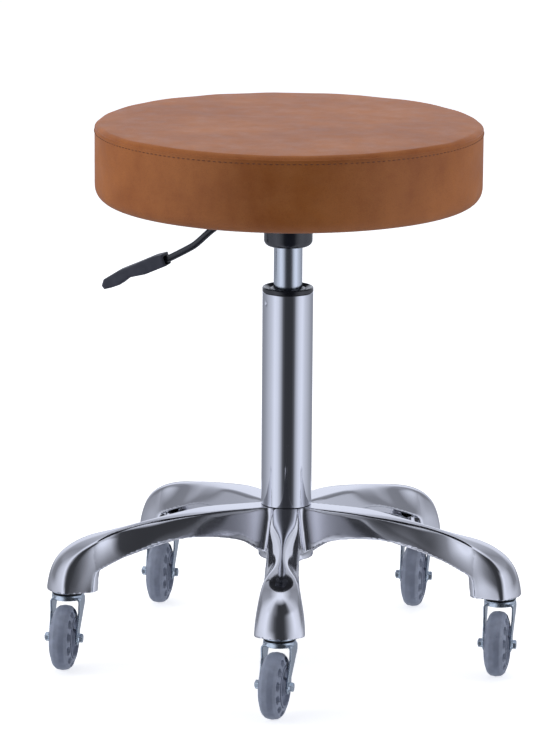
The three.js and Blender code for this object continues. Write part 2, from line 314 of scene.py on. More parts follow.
def field_mesh(field, low, high, cell):
    """Points, quads and normals of a field's zero surface."""
    points, quads = field_cells(field, low, high, cell)
    for _ in range(4):
        gradient = slope(field, points)
        steep = np.maximum((gradient**2).sum(1), 0.05)
        move = (field(*points.T) / steep)[:, None] * gradient
        length = np.linalg.norm(move, axis=1, keepdims=True)
        points = points - move * np.minimum(1, cell / 2 / np.maximum(length, 1e-9))
    normals = slope(field, points)
    normals /= np.maximum(np.linalg.norm(normals, axis=1, keepdims=True), 1e-9)
    return points, quads, normals


def add_field_piece(name, points, quads, normals, finish, body, node):
    """A piece from a field's mesh, shaded with the field's normals so that reflections run smoothly."""
    piece = add_piece(name, points, quads, finish, body, [node], sharp=0)
    if len(piece.data.vertices) == len(points):
        piece.data.normals_split_custom_set_from_vertices(normals.tolist())


# ---------- materials

FINISHES = {}


def new_finish(name, color, roughness, metallic=0.0):
    """A material whose shader has its constant values set on its own sockets."""
    finish = bpy.data.materials.new(name)
    finish.use_nodes = True
    shader = finish.node_tree.nodes["Principled BSDF"]
    shader.inputs["Base Color"].default_value = (*color, 1)
    shader.inputs["Roughness"].default_value = roughness
    shader.inputs["Metallic"].default_value = metallic
    FINISHES[name] = finish
    return finish, shader


def feed(socket, value):
    """Gives a socket another node's output, a number, a vector or a colour of three channels."""
    if isinstance(value, bpy.types.NodeSocket):
        socket.id_data.links.new(value, socket)
    else:
        socket.default_value = (*value, 1) if socket.type == "RGBA" else value


def add_node(owner, kind, settings=None, **inputs):
    """A node of a material or of the world, with its settings and its named inputs."""
    node = owner.node_tree.nodes.new("ShaderNode" + kind)
    for name, value in (settings or {}).items():
        setattr(node, name, value)
    for name, value in inputs.items():
        feed(node.inputs[name], value)
    return node


def calculate(owner, operation, *values):
    node = add_node(owner, "Math", {"operation": operation})
    for socket, value in zip(node.inputs, values):
        feed(socket, value)
    return node.outputs[0]


def texture(finish, kind, scale, settings=None, stretch=(1, 1, 1), **inputs):
    """A texture over object coordinates in metres, stretched along an axis where grain runs."""
    place = add_node(finish, "TexCoord").outputs["Object"]
    place = add_node(finish, "Mapping", Vector=place, Scale=stretch).outputs[0]
    return add_node(finish, "Tex" + kind, settings, Vector=place, Scale=scale, **inputs)


def noise(finish, scale, detail=3.0, stretch=(1, 1, 1), roughness=0.5):
    """Noise whose scale counts its waves in a metre."""
    node = texture(finish, "Noise", scale, stretch=stretch, Detail=detail, Roughness=roughness)
    return node.outputs["Fac"]


def remap(owner, value, low, high, to_low=0.0, to_high=1.0):
    node = add_node(owner, "MapRange", Value=value)
    for name, number in (("From Min", low), ("From Max", high), ("To Min", to_low), ("To Max", to_high)):
        node.inputs[name].default_value = number
    return node.outputs["Result"]


def blend_colors(owner, factor, first, second, mode="MIX"):
    node = add_node(owner, "Mix", {"data_type": "RGBA", "blend_type": mode})
    for index, value in ((0, factor), (6, first), (7, second)):
        feed(node.inputs[index], value)
    return node.outputs[2]


def add_bump(finish, shader, *layers):
    """Bump from (height output, distance in metres, strength) layers, one on top of another."""
    under = {}
    for height, distance, strength in layers:
        node = add_node(finish, "Bump", Height=height, Distance=distance, Strength=strength, **under)
        under = {"Normal": node.outputs["Normal"]}
    feed(shader.inputs["Normal"], under["Normal"])


def metal(name, color, roughness, spread, wave=0.0, streaks=(1, 1, 1), tint=0.06):
    """A metal with cloudy polish, faint hairlines and a slightly wavy surface."""
    finish, shader = new_finish(name, color, roughness, 1.0)
    cloud = noise(finish, 22, 4)
    hairline = noise(finish, 900, 2, streaks)
    polish = calculate(finish, "MULTIPLY", cloud, hairline)
    rough = remap(finish, polish, 0.15, 0.4, roughness - spread, roughness + spread)
    feed(shader.inputs["Roughness"], rough)
    darker = tuple(channel * (1 - tint) for channel in color)
    feed(shader.inputs["Base Color"], blend_colors(finish, cloud, darker, color))
    if wave:
        add_bump(finish, shader, (noise(finish, 40, 2), wave, 1.0), (hairline, wave / 8, 0.3))


def plastic(name, color, roughness, grain_scale, grain_depth, coat=0.0):
    """Moulded plastic: a fine spark-eroded grain, and scuffs that change its gloss."""
    finish, shader = new_finish(name, color, roughness)
    shader.inputs["Coat Weight"].default_value = coat
    scuffs = noise(finish, 60, 5, roughness=0.65)
    gloss = remap(finish, scuffs, 0.35, 0.7, roughness - 0.08, roughness + 0.12)
    feed(shader.inputs["Roughness"], gloss)
    pale = tuple(channel * 1.25 + 0.004 for channel in color)
    mottle = remap(finish, noise(finish, 130, 3), 0.4, 0.75)
    feed(shader.inputs["Base Color"], blend_colors(finish, mottle, color, pale))
    add_bump(finish, shader, (noise(finish, grain_scale, 2), grain_depth, 0.5))


def leather():
    """Tan leathercloth: cloudy dye, and painted shade that darkens the creases of a fine pebble grain."""
    dye = (0.455, 0.140, 0.030)
    finish, shader = new_finish("tan_leather", dye, 0.48)
    shader.inputs["Sheen Weight"].default_value = 0.04
    shader.inputs["Sheen Roughness"].default_value = 0.4
    shader.inputs["Sheen Tint"].default_value = (1.0, 0.86, 0.74, 1)
    shader.inputs["Specular IOR Level"].default_value = 0.34
    cloud = remap(finish, noise(finish, 14, 5, roughness=0.6), 0.32, 0.68)
    patch = remap(finish, noise(finish, 55, 4, roughness=0.6), 0.35, 0.7)
    color = blend_colors(finish, cloud, (0.375, 0.108, 0.020), (0.53, 0.175, 0.040))
    color = blend_colors(finish, remap(finish, patch, 0, 1, 0, 0.35), color, (0.56, 0.205, 0.062))
    pebble = texture(finish, "Voronoi", 780.0, {"feature": "DISTANCE_TO_EDGE"}).outputs["Distance"]
    # Painted shade: the colour darkens along the grain's creases, where the bump sinks.
    crease_shade = remap(finish, pebble, 0.0, 0.14, 0.82, 1.0)
    crease_shade_tone = add_node(finish, "CombineColor", Red=crease_shade, Green=crease_shade, Blue=crease_shade)
    color = blend_colors(finish, 1.0, color, crease_shade_tone.outputs[0], "MULTIPLY")
    feed(shader.inputs["Base Color"], color)
    feed(shader.inputs["Roughness"], remap(finish, patch, 0, 1, 0.42, 0.56))
    waves = (noise(finish, 28, 3), 0.0006, 0.5)
    creases = (remap(finish, pebble, 0.0, 0.25), 0.00012, 0.35)
    pores = (noise(finish, 2400, 2), 0.00005, 0.3)
    add_bump(finish, shader, waves, creases, pores)


def thread():
    """Waxed thread, twisted in a fine spiral, with painted light and shade: each ply lighter, the grooves
    between them darker.
    """
    finish, shader = new_finish("thread", (0.20, 0.065, 0.018), 0.6)
    twist = texture(finish, "Wave", 900.0, {"bands_direction": "DIAGONAL"}).outputs["Fac"]
    # Painted light and shade: lighter on each ply of the twist, darker in the grooves, following the bump.
    shade = blend_colors(finish, twist, (0.13, 0.042, 0.012), (0.27, 0.092, 0.026))
    feed(shader.inputs["Base Color"], shade)
    add_bump(finish, shader, (twist, 0.0001, 0.6))


def foam():
    """Cream cut foam with open cells, their hollows darkened with painted shade."""
    finish, shader = new_finish("foam", (0.75, 0.68, 0.45), 0.95)
    cells = texture(finish, "Voronoi", 900.0).outputs["Distance"]
    # Painted shade: each open cell is darker in its hollow, where the bump sinks.
    shade = blend_colors(finish, cells, (0.52, 0.46, 0.28), (0.8, 0.73, 0.5))
    feed(shader.inputs["Base Color"], shade)
    add_bump(finish, shader, (cells, 0.0004, 0.8))


def plywood():
    """Birch plywood: long grain on the faces."""
    finish, shader = new_finish("plywood", (0.5, 0.34, 0.17), 0.6)
    grain = noise(finish, 60, 5, (1, 14, 60))
    shade = blend_colors(finish, grain, (0.40, 0.25, 0.11), (0.62, 0.45, 0.25))
    feed(shader.inputs["Base Color"], shade)
    add_bump(finish, shader, (grain, 0.0002, 0.5))


def dust_cloth():
    """Black non-woven lining, pressed with rows of small dots."""
    finish, shader = new_finish("dust_cloth", (0.014, 0.014, 0.015), 0.9)
    dots = texture(finish, "Voronoi", 700.0, Randomness=0.15).outputs["Distance"]
    fibre = noise(finish, 1500, 4)
    shade = blend_colors(finish, fibre, (0.008, 0.008, 0.009), (0.035, 0.035, 0.038))
    feed(shader.inputs["Base Color"], shade)
    add_bump(finish, shader, (dots, 0.0002, 0.6), (fibre, 0.0001, 0.5))


def make_finishes():
    metal("polished_aluminium", (0.82, 0.82, 0.86), 0.11, 0.035, 0.00004)
    metal("chrome", (0.80, 0.81, 0.86), 0.055, 0.02, 0.000012)
    metal("ground_chrome", (0.74, 0.79, 0.86), 0.20, 0.03, 0.00001, (1, 1, 6))
    metal("zinc_steel", (0.72, 0.81, 0.90), 0.24, 0.05, 0.00002, tint=0.14)
    metal("plain_steel", (0.42, 0.43, 0.45), 0.36, 0.08, 0.00004, (1, 1, 12), tint=0.15)
    plastic("black_plastic", (0.010, 0.011, 0.017), 0.18, 1800, 0.00002, coat=0.5)
    plastic("black_enamel", (0.018, 0.020, 0.030), 0.20, 700, 0.00003, coat=0.6)
    plastic("lever_plastic", (0.058, 0.061, 0.080), 0.50, 1400, 0.00006)
    plastic("black_rubber", (0.015, 0.015, 0.016), 0.72, 1500, 0.00005)
    plastic("castor_grey", (0.23, 0.255, 0.325), 0.46, 1600, 0.00003)
    plastic("tyre_grey", (0.30, 0.33, 0.41), 0.34, 1200, 0.00003)
    leather()
    thread()
    foam()
    plywood()
    dust_cloth()


# ---------- base

# One arm is drawn in u, along the arm from the column axis, v, across it, and z.
BASE_GRID = 1.8
HUB_RADIUS = 25.2
HUB_BOTTOM = 96.0
HUB_FLOOR = 60.0  # within this radius the casting ends at the hub's bottom
HUB_SKIRT = 27.0  # the arms' undersides stop at this radius
HUB_CORE = 33.0  # the channels under the arms stop at this radius
BORE_RADIUS = 18.2  # at the hub's bottom
BORE_TAPER = 1.7  # how much wider the bore is at the hub's top
STEM_BOSS = 9.5
STEM_HOLE = 5.9
STEM_HOLE_TOP = 111.0
NOSE = 243.3  # how far the foot's nose reaches from the axis
NOSE_BLEND = 66  # the ridge rolls over into the nose within this height
RIDGE_FALL = math.radians(12)  # the mean slope of the ridge
FOOT_CENTRE = 217.0
FOOT_PLAN = 28.0  # the foot is round in plan behind the stem
CASTING_WALL = 6.0
RIB_HALF_WIDTH = 3.0
# How far the rib in the middle of an arm hangs below the arm's underside.
RIB_DEPTH = spline([(0, 4.0), (100, 4.0), (128, 6.6), (158, 6.6), (185, 4.6), (243, 4.6)])
CREST_DROP = 2.6  # the crest's edge lies this far below the ridge
RIDGE_HEIGHT = spline([(0, 148.8), (50, 148.6), (80, 148.0), (112, 144.8), (149, 138.6), (182, 131.6),
                       (205, 126.6), (243, 116.5)])
CREST_WIDTH = spline([(0, 36), (25, 33), (38, 28.5), (55, 22.5), (77, 17.8), (100, 12.6), (120, 9.4),
                      (140, 7.6), (158, 6.4), (172, 7.4), (187, 11.5), (202, 17.5), (216, 22), (243, 24)])
FLANK_TILT = spline([(0, 12), (60, 17), (91, 23), (120, 28), (142, 30), (165, 28), (185, 22), (200, 13),
                     (215, 6), (243, 0)])
CROWN_RADIUS = spline([(0, 260), (60, 150), (100, 50), (130, 14), (156, 10), (172, 22), (188, 42),
                       (204, 42), (222, 33), (243, 24.5)])
HALF_WIDTH = spline([(0, 17.0), (60, 16.8), (90, 16.6), (142, 16.8), (165, 18.4), (183, 20.2), (200, 22.5),
                     (220, 22.6), (243, 19.0)])
DRAFT = spline([(0, 7), (90, 7), (140, 9), (180, 11.7), (243, 11.7)])
UNDERSIDE = spline([(0, 95), (34, 108.5), (42, 113.5), (61, 120), (91, 123.5), (120, 122.5), (144, 117.6),
                    (165, 110.5), (182, 103.8), (200, 96)])


def arm_fields(u, v, z):
    """The crown of an arm, and its flank and wall, which the hub joins to its neighbour's."""
    drop = smooth_max((z - RIDGE_HEIGHT(u)) * math.cos(RIDGE_FALL), u - NOSE, NOSE_BLEND)
    crown = drop + v * v / (2 * CROWN_RADIUS(u))
    tilt = np.radians(FLANK_TILT(u))
    flank = (v - CREST_WIDTH(u)) * np.cos(tilt) + (drop + CREST_DROP) * np.sin(tilt)
    draft = np.radians(DRAFT(u))
    wall = (v - HALF_WIDTH(u)) * np.cos(draft) + (z - UNDERSIDE(u)) * np.sin(draft)
    return crown, smooth_max(flank, wall, 3.5)


def base_field(x, y, z):
    """The five-arm casting, drawn about the column axis.

    The last number of a smooth_max or smooth_min is the size of the fillet between two faces.
    """
    radius = np.hypot(x, y)
    angle = np.arctan2(y, x) - FRONT_ARM_ANGLE
    near = np.abs(angle - np.round(angle / SECTOR) * SECTOR)
    far = SECTOR - near
    u, v = radius * np.cos(near), radius * np.sin(near)
    crown, wall = arm_fields(u, v, z)
    _, next_wall = arm_fields(radius * np.cos(far), radius * np.sin(far), z)
    walls = smooth_min(wall, next_wall, 18.0)
    walls = smooth_min(walls, radius - HUB_RADIUS, 3.0)
    edge = 2.0 + 2.5 * np.clip((radius - 30) / 20, 0, 1)
    outside = smooth_max(crown, walls, edge)
    stem = np.hypot(u - STEM_CIRCLE, v)
    hollow = smooth_max(outside + CASTING_WALL, STEM_BOSS - stem, 4)
    hollow = smooth_max(hollow, HUB_CORE - radius, 6)
    rib = smooth_max(v - RIB_HALF_WIDTH, UNDERSIDE(u) - RIB_DEPTH(u) - z, 2)
    hollow = smooth_max(hollow, -rib, 2)
    body = smooth_max(outside, -hollow, 1.5)
    in_foot = np.hypot(u - FOOT_CENTRE, v) - FOOT_PLAN
    below = smooth_max(z - UNDERSIDE(u), -in_foot, 5)
    below = smooth_max(below, HUB_SKIRT - radius, 10)
    below = smooth_max(below, -rib, 2)
    body = smooth_max(body, -below, 2.2)
    floor = np.where(radius < HUB_FLOOR, HUB_BOTTOM, FOOT_BOTTOM)
    body = smooth_max(body, floor - z, 1.4)
    bore = BORE_RADIUS + (z - HUB_BOTTOM) * BORE_TAPER / (HUB_TOP - HUB_BOTTOM) - radius
    body = smooth_max(body, bore, 0.8)
    stem_hole = smooth_max(stem - STEM_HOLE, z - STEM_HOLE_TOP, 0.8)
    return smooth_max(body, -stem_hole, 0.8)


def make_base():
    reach = NOSE + 2
    low = (-reach, -reach, FOOT_BOTTOM - 1)
    high = (reach, reach * math.cos(SECTOR / 2) + 8, HUB_TOP + 1)
    points, quads, normals = field_mesh(base_field, low, high, BASE_GRID)
    add_field_piece("cast_base", on_axis(points), quads, normals, "polished_aluminium", "root", "base")


# ---------- column and gas lift


CRIMP_ANGLE = math.radians(212)
CRIMP_HEIGHT = COLUMN_TOP - 10
CRIMP_DEPTH = 1.1


def dimple(angles, radius, height):
    """The small crimp near the top of the column."""
    around = (angles - CRIMP_ANGLE) * radius
    share = np.exp(-((around / 1.5) ** 2) - ((height - CRIMP_HEIGHT) / 2.2) ** 2)
    return radius - np.where(radius > COLUMN_RADIUS - 1, CRIMP_DEPTH * share, 0)


def make_column():
    wall = 2.1
    inside = COLUMN_RADIUS - wall
    corners = [
        (17.6, COLUMN_BOTTOM, 0.5), (19.6, HUB_TOP + 0.1, 0), (COLUMN_RADIUS, HUB_TOP + 0.1, 0.2),
    ]
    for drop in np.arange(-16, -4, 0.6):  # close rings where the crimp is
        corners.append((COLUMN_RADIUS, COLUMN_TOP + drop, 0))
    corners += [
        (COLUMN_RADIUS, COLUMN_TOP, 0.7), (inside, COLUMN_TOP, 0.4), (inside, HUB_TOP + 4, 0.5),
        (16.6, HUB_TOP - 2, 0.5), (15, COLUMN_BOTTOM + 3, 0), (6, COLUMN_BOTTOM + 3, 0),
        (6, COLUMN_BOTTOM, 0),
    ]
    points, faces = lathe(corners, 256, dimple)
    add_piece("column_tube", on_axis(points), faces, "chrome", "root", ["outer_column"])


def make_bush():
    flange = top_of("guide_bush")
    bore = LIFT_RADIUS + 0.3
    corners = [
        (bore, bottom_of("guide_bush"), 0.4), (22.6, bottom_of("guide_bush"), 0.4),
        (22.6, COLUMN_TOP + 0.3, 0.2), (COLUMN_RADIUS + 0.2, COLUMN_TOP + 0.3, 0.5),
        (COLUMN_RADIUS + 0.1, flange - 0.2, 1.3), (23.2, flange, 0.5), (18.2, flange - 3.4, 0.8),
        (17.4, flange - 1.6, 0.5), (15.6, flange - 1.2, 0.5), (bore, flange - 2.6, 0.3),
    ]
    points, faces = lathe(corners, 128)
    add_piece("lift_bush", on_axis(points), faces, "black_plastic", "root", ["guide_bush"])


def make_lift():
    """The gas cylinder, chromed, with its rolled top edge."""
    corners = [
        (12.3, LIFT_BOTTOM, 0.3), (LIFT_RADIUS, LIFT_BOTTOM, 0.5), (LIFT_RADIUS, LIFT_TOP, 1.2),
        (3.3, LIFT_TOP, 0.4), (3.3, LIFT_TOP - 6, 0), (12.3, LIFT_TOP - 6, 0.5),
    ]
    points, faces = lathe(corners, 160)
    add_piece("lift_cylinder", on_axis(points), faces, "ground_chrome", "seat", ["gas_cylinder"])


def make_collar():
    """The black taper socket under the seat, slotted for the lever."""
    bottom, top = bottom_of("taper_socket"), top_of("taper_socket")
    outside = radius_of("taper_socket")
    bore = LIFT_RADIUS + 0.3
    corners = [
        (bore, bottom, 0.6), (outside, bottom, 6.0), (outside, top, 0.6), (18, top, 0.4),
        (18, LIFT_TOP + 0.3, 0.4), (bore, LIFT_TOP + 0.3, 0.3),
    ]
    points, faces = lathe(corners, 144, steps=9)
    collar = add_piece("lift_collar", on_axis(points), faces, "black_enamel", "seat", ["taper_socket"])
    slot_points = [
        (x, y, z) for x in (12, 32) for y in (-4.5, 4.5) for z in (LEVER_HEIGHT - 6, top + 6)]
    slot_faces = [(0, 1, 3, 2), (4, 6, 7, 5), (0, 4, 5, 1), (2, 3, 7, 6), (0, 2, 6, 4), (1, 5, 7, 3)]
    cutter = new_object("slot_cutter", bpy.data.meshes.new("slot_cutter"))
    cutter.data.from_pydata((in_lever_plane(slot_points) * MM).tolist(), [], slot_faces)
    cut = collar.modifiers.new("lever slot", "BOOLEAN")
    cut.object = cutter
    cut.solver = "EXACT"
    apply_modifiers(collar)
    bpy.data.objects.remove(cutter)
    collar.data.set_sharp_from_angle(angle=math.radians(38))


# ---------- lever

# Lever points are (distance from the column axis, height), in the lever's upright plane.
LEVER_PATH = [(-5, LEVER_HEIGHT), (28, LEVER_HEIGHT), (50, LEVER_HEIGHT - 0.5), (78.7, 417.6),
              (96.5, 401.5), (122, 387), (146, 376)]
GRIP_OUTLINE = [(126.5, 392), (136.6, 388.9), (155.5, 380.1), (173.1, 372.2), (187.2, 363.1),
                (189.2, 356.6), (186.3, 353.2), (180.1, 354.8), (170.5, 358.5), (165.2, 363), (159, 367),
                (144.1, 370.8), (122.6, 380.6)]
GRIP_HALF_WIDTH = 10.0
LEVER_ROD_RADIUS = 3.5


def curve_through(points, steps=8, pull=0.3):
    """Cubic stretches through points, each leaving a point along the line of its neighbours."""
    points = np.array(points, float)
    ends = np.concatenate([[2 * points[0] - points[1]], points, [2 * points[-1] - points[-2]]])
    result = []
    for before, start, end, after in zip(ends, ends[1:], ends[2:], ends[3:]):
        leave, arrive = pull * (end - before), pull * (after - start)
        for t in np.arange(steps) / steps:
            result.append(
                (2 * t**3 - 3 * t**2 + 1) * start + (t**3 - 2 * t**2 + t) * leave
                + (3 * t**2 - 2 * t**3) * end + (t**3 - t**2) * arrive)
    return np.array([*result, points[-1]])


def tube(path, radius, sides=28, round_ends=4):
    """A round rod along a path in the plane y = 0, with domed ends."""
    path = np.asarray(path, float)
    along = np.gradient(path, axis=0)
    along /= np.linalg.norm(along, axis=1, keepdims=True)
    dome = 0.4 * radius
    arc = [(math.cos(a), math.sin(a)) for a in np.arange(round_ends) * math.pi / 2 / round_ends]
    stations = [(path[0] - along[0] * dome * out, along[0], size) for out, size in arc]
    stations += [(point, direction, 1.0) for point, direction in zip(path, along)]
    stations += [(path[-1] + along[-1] * dome * out, along[-1], size) for out, size in reversed(arc)]
    turn = np.arange(sides) * 2 * math.pi / sides
    points = []
    for (x, z), (dx, dz), size in stations:
        out = radius * size * np.cos(turn)
        points.append(np.stack([x - dz * out, radius * size * np.sin(turn), z + dx * out], 1))
    return np.concatenate(points), grid_faces(len(stations), sides)


def grip_field(x, y, z):
    """The moulded paddle: a flat bar with soft edges and a square socket for the rod."""
    outline = outline_field(GRIP_OUTLINE, x, z)
    bar = smooth_max(outline, np.abs(y) - GRIP_HALF_WIDTH, 2.6)
    (ax, az), (bx, bz) = LEVER_PATH[-2:]
    length = math.hypot(bx - ax, bz - az)
    dx, dz = (bx - ax) / length, (bz - az) / length
    along = (x - ax) * dx + (z - az) * dz
    across = np.abs((z - az) * dx - (x - ax) * dz + 0.6)
    socket = smooth_max(across - 4.3, np.abs(y) - (GRIP_HALF_WIDTH - 2.1), 2.0)
    socket = smooth_max(socket, along - 12, 2.0)
    return smooth_max(bar, -socket, 0.8)


def make_lever():
    points, faces = tube(curve_through(LEVER_PATH), LEVER_ROD_RADIUS)
    add_piece("lever_bar", in_lever_plane(points), faces, "black_enamel", "lever", ["lever_rod"])
    xs, zs = np.array(GRIP_OUTLINE).T
    low = (xs.min(), -GRIP_HALF_WIDTH, zs.min())
    high = (xs.max(), GRIP_HALF_WIDTH, zs.max())
    points, quads, normals = field_mesh(grip_field, low, high, FINE_GRID)
    add_field_piece("lever_paddle", in_lever_plane(points), quads, turned(normals, LEVER_ANGLE),
                    "lever_plastic", "lever", "lever_grip")


# ---------- castors

WHEEL_RADIUS = (span("castor_1_tyre")[1][2] - span("castor_1_tyre")[0][2]) / 2
CASTOR_TRAIL = 17.0
FORK_OUTSIDE = 14.6
FORK_TOP = 70.7
FORK_BEND = 4.5
CUP_RADIUS = 15.6
CUP_TOP = 72.9
CUP_BOTTOM = 67.6
AXLE_HEAD = 9.2  # across the corners of the bolt's head and of the nut
POCKETS = 12
POCKET_CIRCLE = 25.4
POCKET_LENGTH = 4.7  # half the length and width of a pocket's mouth
POCKET_WIDTH = 2.8
POCKET_DEPTH = 5.0
POCKET_FLOOR = 0.72  # how far out from its middle a pocket stays flat


def castor_angle(number):
    """The direction, seen from above, in which the wheel trails behind the stem."""
    stem = middle(f"castor_{number}_stem")
    wheel = middle(f"castor_{number}_tyre")
    return math.atan2(wheel[1] - stem[1], wheel[0] - stem[0])


def placed_castor(points, number):
    """Points drawn with the stem on the Z axis and the wheel trailing along +X."""
    stem = middle(f"castor_{number}_stem")
    return turned(points, castor_angle(number)) + np.array((stem[0], stem[1], 0))


def along_axle(points):
    """Points drawn about Z, laid down along the axle."""
    x, y, z = np.asarray(points).T
    return np.stack([x + CASTOR_TRAIL, z, y + WHEEL_RADIUS], 1)


def fork_field(x, y, z):
    """A bent steel strap: a crown with a raised bearing cup and two tapering legs."""
    side, up = np.abs(y) - (FORK_OUTSIDE - FORK_BEND), z - (FORK_TOP - FORK_BEND)
    lean = np.clip((FORK_TOP - 8 - z) / 34, 0, 1) * 0.9
    side = side + lean - 0.4
    corner = np.hypot(np.maximum(side, 0), np.maximum(up, 0)) + np.minimum(np.maximum(side, up), 0)
    sheet = np.abs(corner - FORK_BEND + 1.0) - 1.0
    outline = [(-11, FORK_TOP + 4), (-11, 61), (9.6, 38), (10.8, 30), (14, 25.6), (18.3, 24.8),
               (22.2, 27.2), (23.6, 32), (22, 38), (13.4, 57), (13.4, FORK_TOP + 4)]
    strap = smooth_max(sheet, outline_field(outline, x, z), 0.9)
    radius = np.hypot(x, y)
    cup = smooth_max(radius - CUP_RADIUS, z - CUP_TOP, 2.2)
    cup = smooth_max(cup, CUP_BOTTOM - z, 1.0)
    strap = smooth_min(strap, cup, 1.6)
    return smooth_max(strap, STEM_HOLE - radius, 0.6)


def mirrored(corners):
    """The same corners on the wheel's other side, in the order that carries on round it."""
    return [(radius, -height, rounding) for radius, height, rounding in reversed(corners)]


def tyre_surface(segments=240):
    """The tyre's round tread, its shoulders with sunk ovals, and its inner bore."""
    half = [(20.3, 10.4, 0.5), (22.5, 10.6, 0.9), (28.6, 8.2, 3.0), (31.2, 5.2, 3.5)]
    corners = [*half, (32.0, 0, 0), *mirrored(half), (20.3, 0, 0)]
    outline = np.array(fillet(corners, 7))
    rows = []
    for start, end in zip(outline, np.roll(outline, -1, axis=0)):
        count = max(1, int(np.linalg.norm(end - start) / FINE_GRID))
        rows += [start + (end - start) * k / count for k in range(count)]
    angles = np.arange(segments) * 2 * math.pi / segments
    points = []
    for radius, height in rows:
        turn = np.mod(angles * POCKETS, 2 * math.pi) - math.pi
        around = turn / POCKETS * POCKET_CIRCLE
        sunk = np.hypot(around / POCKET_LENGTH, (radius - POCKET_CIRCLE) / POCKET_WIDTH)
        rise = np.clip((sunk - POCKET_FLOOR) / (1 - POCKET_FLOOR), 0, 1)
        depth = POCKET_DEPTH * (1 - rise**2 * (3 - 2 * rise)) if abs(height) > 5 else 0
        ring = [radius * np.cos(angles), radius * np.sin(angles), height - np.sign(height) * depth]
        points.append(np.stack(np.broadcast_arrays(*ring), 1))
    return np.concatenate(points), grid_faces(len(rows), segments, close_rows=True)


def rim_surface():
    """The wheel's core: a dished web, a raised lip and the bearing boss."""
    half = [(3.3, 12, 0.3), (7.6, 12, 0.8), (9.4, 7.6, 1.0), (17.2, 7.0, 1.2), (18.1, 11.5, 0.6),
            (20.1, 11.2, 0.5)]
    return lathe(half + mirrored(half), 120)


def make_fork(number, fork):
    body = f"castor_{number}"
    points, quads, normals = fork
    add_field_piece(f"{body}_strap", placed_castor(points, number), quads,
                    turned(normals, castor_angle(number)), "zinc_steel", body, f"{body}_fork")


def make_axle(number):
    """The hexagon bolt through the fork and the nut on its far end."""
    body = f"castor_{number}"
    cheek = FORK_OUTSIDE - 0.2
    bolt = [(0, -cheek - 4.9, 0), (2.6, -cheek - 4.9, 0), (3.0, -cheek - 4.4, 0), (3.0, cheek, 0),
            (4.9, cheek, 0.2), (4.9, cheek + 1.0, 0), (4.6, cheek + 1.0, 0), (4.6, cheek + 4.0, 0.9),
            (0, cheek + 4.3, 0)]
    nut = [(3.2, -cheek - 4.2, 0.2), (4.6, -cheek - 4.2, 0.9), (4.6, -cheek - 1.0, 0),
           (4.9, -cheek - 1.0, 0), (4.9, -cheek, 0.2), (3.2, -cheek, 0.2)]

    def hexagon(angles, radius, height):
        """Cuts six flats where a ring is part of the bolt's head or the nut, above its washer."""
        if abs(height) < cheek + 0.99 or radius < 3.5:
            return 0 * angles + radius
        turn = np.mod(angles + math.pi / 6, math.pi / 3) - math.pi / 6
        return np.minimum(radius, AXLE_HEAD / 2 * math.cos(math.pi / 6) / np.cos(turn))

    for name, outline in (("bolt", bolt), ("nut", nut)):
        points, faces = lathe(outline, 96, hexagon)
        place = placed_castor(along_axle(points), number)
        add_piece(f"{body}_{name}", place, faces, "zinc_steel", body, [f"{body}_axle_{name}"], sharp=30)


def make_wheel(number):
    body = f"castor_{number}"
    parts = (("tread", tyre_surface(), "tyre_grey", "tyre"), ("core", rim_surface(), "castor_grey", "hub"))
    for name, (points, faces), finish, node in parts:
        place = placed_castor(along_axle(points), number)
        add_piece(f"{body}_{name}", place, faces, finish, f"{body}_wheel", [f"{body}_{node}"], sharp=40)


def make_stem(number):
    """The stem pressed into the arm, with its flange, and the dust seal below the foot."""
    body = f"castor_{number}"
    stem = [(0, 66.5, 0), (8, 66.5, 0.4), (8, 68, 0.4), (5.5, 68, 0), (5.5, 75.2, 0), (17, 75.2, 0.6),
            (17, 76.7, 0.6), (5.5, 76.7, 0), (5.5, 109, 0.4), (4, 110, 0), (0, 110, 0)]
    seal = [(5.8, 73.3, 0.2), (15.6, 73.3, 0.5), (15.8, 74.8, 0.5), (5.8, 74.8, 0.2)]
    parts = (("pin", stem, "zinc_steel", "stem"), ("race", seal, "black_rubber", "bearing"))
    for name, outline, finish, node in parts:
        points, faces = lathe(outline, 96)
        add_piece(f"{body}_{name}", placed_castor(points, number), faces, finish, "root",
                  [f"{body}_{node}"])


def make_castors():
    fork = field_mesh(fork_field, (-15, -16, 24), (25, 16, 74), FINE_GRID)
    for number in range(1, ARM_COUNT + 1):
        make_fork(number, fork)
        make_axle(number)
        make_wheel(number)
        make_stem(number)


# ---------- seat

SEAM_HEIGHT = SEAT_TOP - 6.0
STITCH_HEIGHT = SEAM_HEIGHT - 2.8
SEAM_DEPTH = 0.28
HEM_RADIUS = 152.0
SIDE_RADIUS = SEAT_RADIUS - 0.6  # where the cover's side is sewn, before it swells
SHOULDER = 5.4  # radius of the cover's upper edge
LOWER_CORNER = 14.0  # radius of its lower edge
PANEL_STEPS = 48  # quads along each of the top panel's four sides
PANEL_DOME = 0.4  # how much the top panel falls from its middle to its edge
SWELL = 1.3  # how far the foam presses the cover out
CLOTH = {"quality": 6, "mass": 0.4, "tension_stiffness": 40, "compression_stiffness": 40,
         "shear_stiffness": 20, "bending_stiffness": 4, "use_pressure": True,
         "uniform_pressure_force": 4, "pin_stiffness": 1}
CLOTH_FRAMES = 20
SMOOTHING_PASSES = 9


def disc_grid(radius, count):
    """A square grid of count by count quads, bent into a disc."""
    line = np.linspace(-1, 1, count + 1)
    u, v = np.meshgrid(line, line, indexing="ij")
    x = u * np.sqrt(1 - v * v / 2)
    y = v * np.sqrt(1 - u * u / 2)
    return radius * x, radius * y


